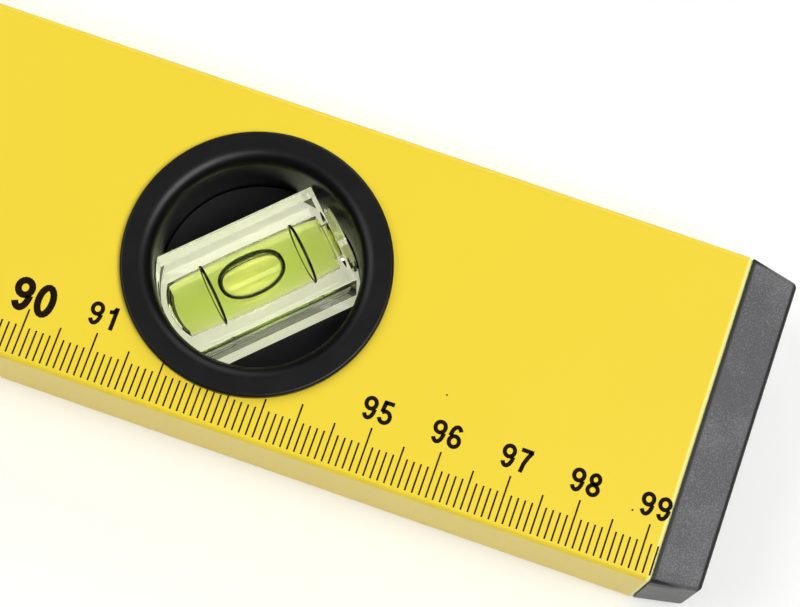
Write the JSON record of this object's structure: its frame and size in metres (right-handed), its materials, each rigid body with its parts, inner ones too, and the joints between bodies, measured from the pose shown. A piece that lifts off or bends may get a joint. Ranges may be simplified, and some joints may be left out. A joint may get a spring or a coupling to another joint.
{
  "type": "spirit level",
  "caption": "Long box-section spirit level with a millimetre scale along one edge, round windows with a diagonal and an upright vial near its ends and a centre vial.",
  "frame": {"origin": "under the middle of the level, on the surface that its back lies on", "axes": "+X along the level towards the end with the 45 degree vial, +Y up the face from the ruled edge, +Z out of the front face; the level lies on its back as in the picture"},
  "size_m": [1, 0.048, 0.0222],
  "materials": {
    "yellow_paint": "satin powder coat",
    "cap_plastic": "fine spark texture",
    "black_plastic": "smooth satin moulding",
    "clear_acrylic": "polished clear acrylic",
    "vial_liquid": "clear dyed liquid",
    "bubble_air": "air bubble",
    "marker_black": "black ring"
  },
  "bodies": {
    "level": {"profile": "yellow_paint", "right_end_cap": "cap_plastic", "left_end_cap": "cap_plastic", "right_front_bezel": "black_plastic", "right_rear_bezel": "black_plastic", "left_front_bezel": "black_plastic", "left_rear_bezel": "black_plastic", "centre_front_cover": "black_plastic", "centre_rear_cover": "black_plastic", "right_vial_block": "clear_acrylic", "right_vial_plug": "clear_acrylic", "right_vial_rings": "marker_black", "right_vial_liquid": "vial_liquid", "left_vial_block": "clear_acrylic", "left_vial_plug": "clear_acrylic", "left_vial_rings": "marker_black", "left_vial_liquid": "vial_liquid", "centre_vial_block": "clear_acrylic", "centre_vial_plug": "clear_acrylic", "centre_vial_rings": "marker_black", "centre_vial_liquid": "vial_liquid"},
    "right_bubble": {"right_vial_bubble": "bubble_air"},
    "left_bubble": {"left_vial_bubble": "bubble_air"},
    "centre_bubble": {"centre_vial_bubble": "bubble_air"}
  },
  "joints": [
    {"name": "right_bubble_slide", "type": "slide", "parent": "level", "child": "right_bubble", "axis": [0.7071, 0.7071, 0], "range_m": [-0.00603, 0.00657], "deforming": ["right_vial_liquid"]},
    {"name": "left_bubble_slide", "type": "slide", "parent": "level", "child": "left_bubble", "axis": [0, 1, 0], "range_m": [-0.008, 0.0046], "deforming": ["left_vial_liquid"]},
    {"name": "centre_bubble_slide", "type": "slide", "parent": "level", "child": "centre_bubble", "axis": [1, 0, 0], "range_m": [-0.0166, 0.0204], "deforming": ["centre_vial_liquid"]}
  ]
}
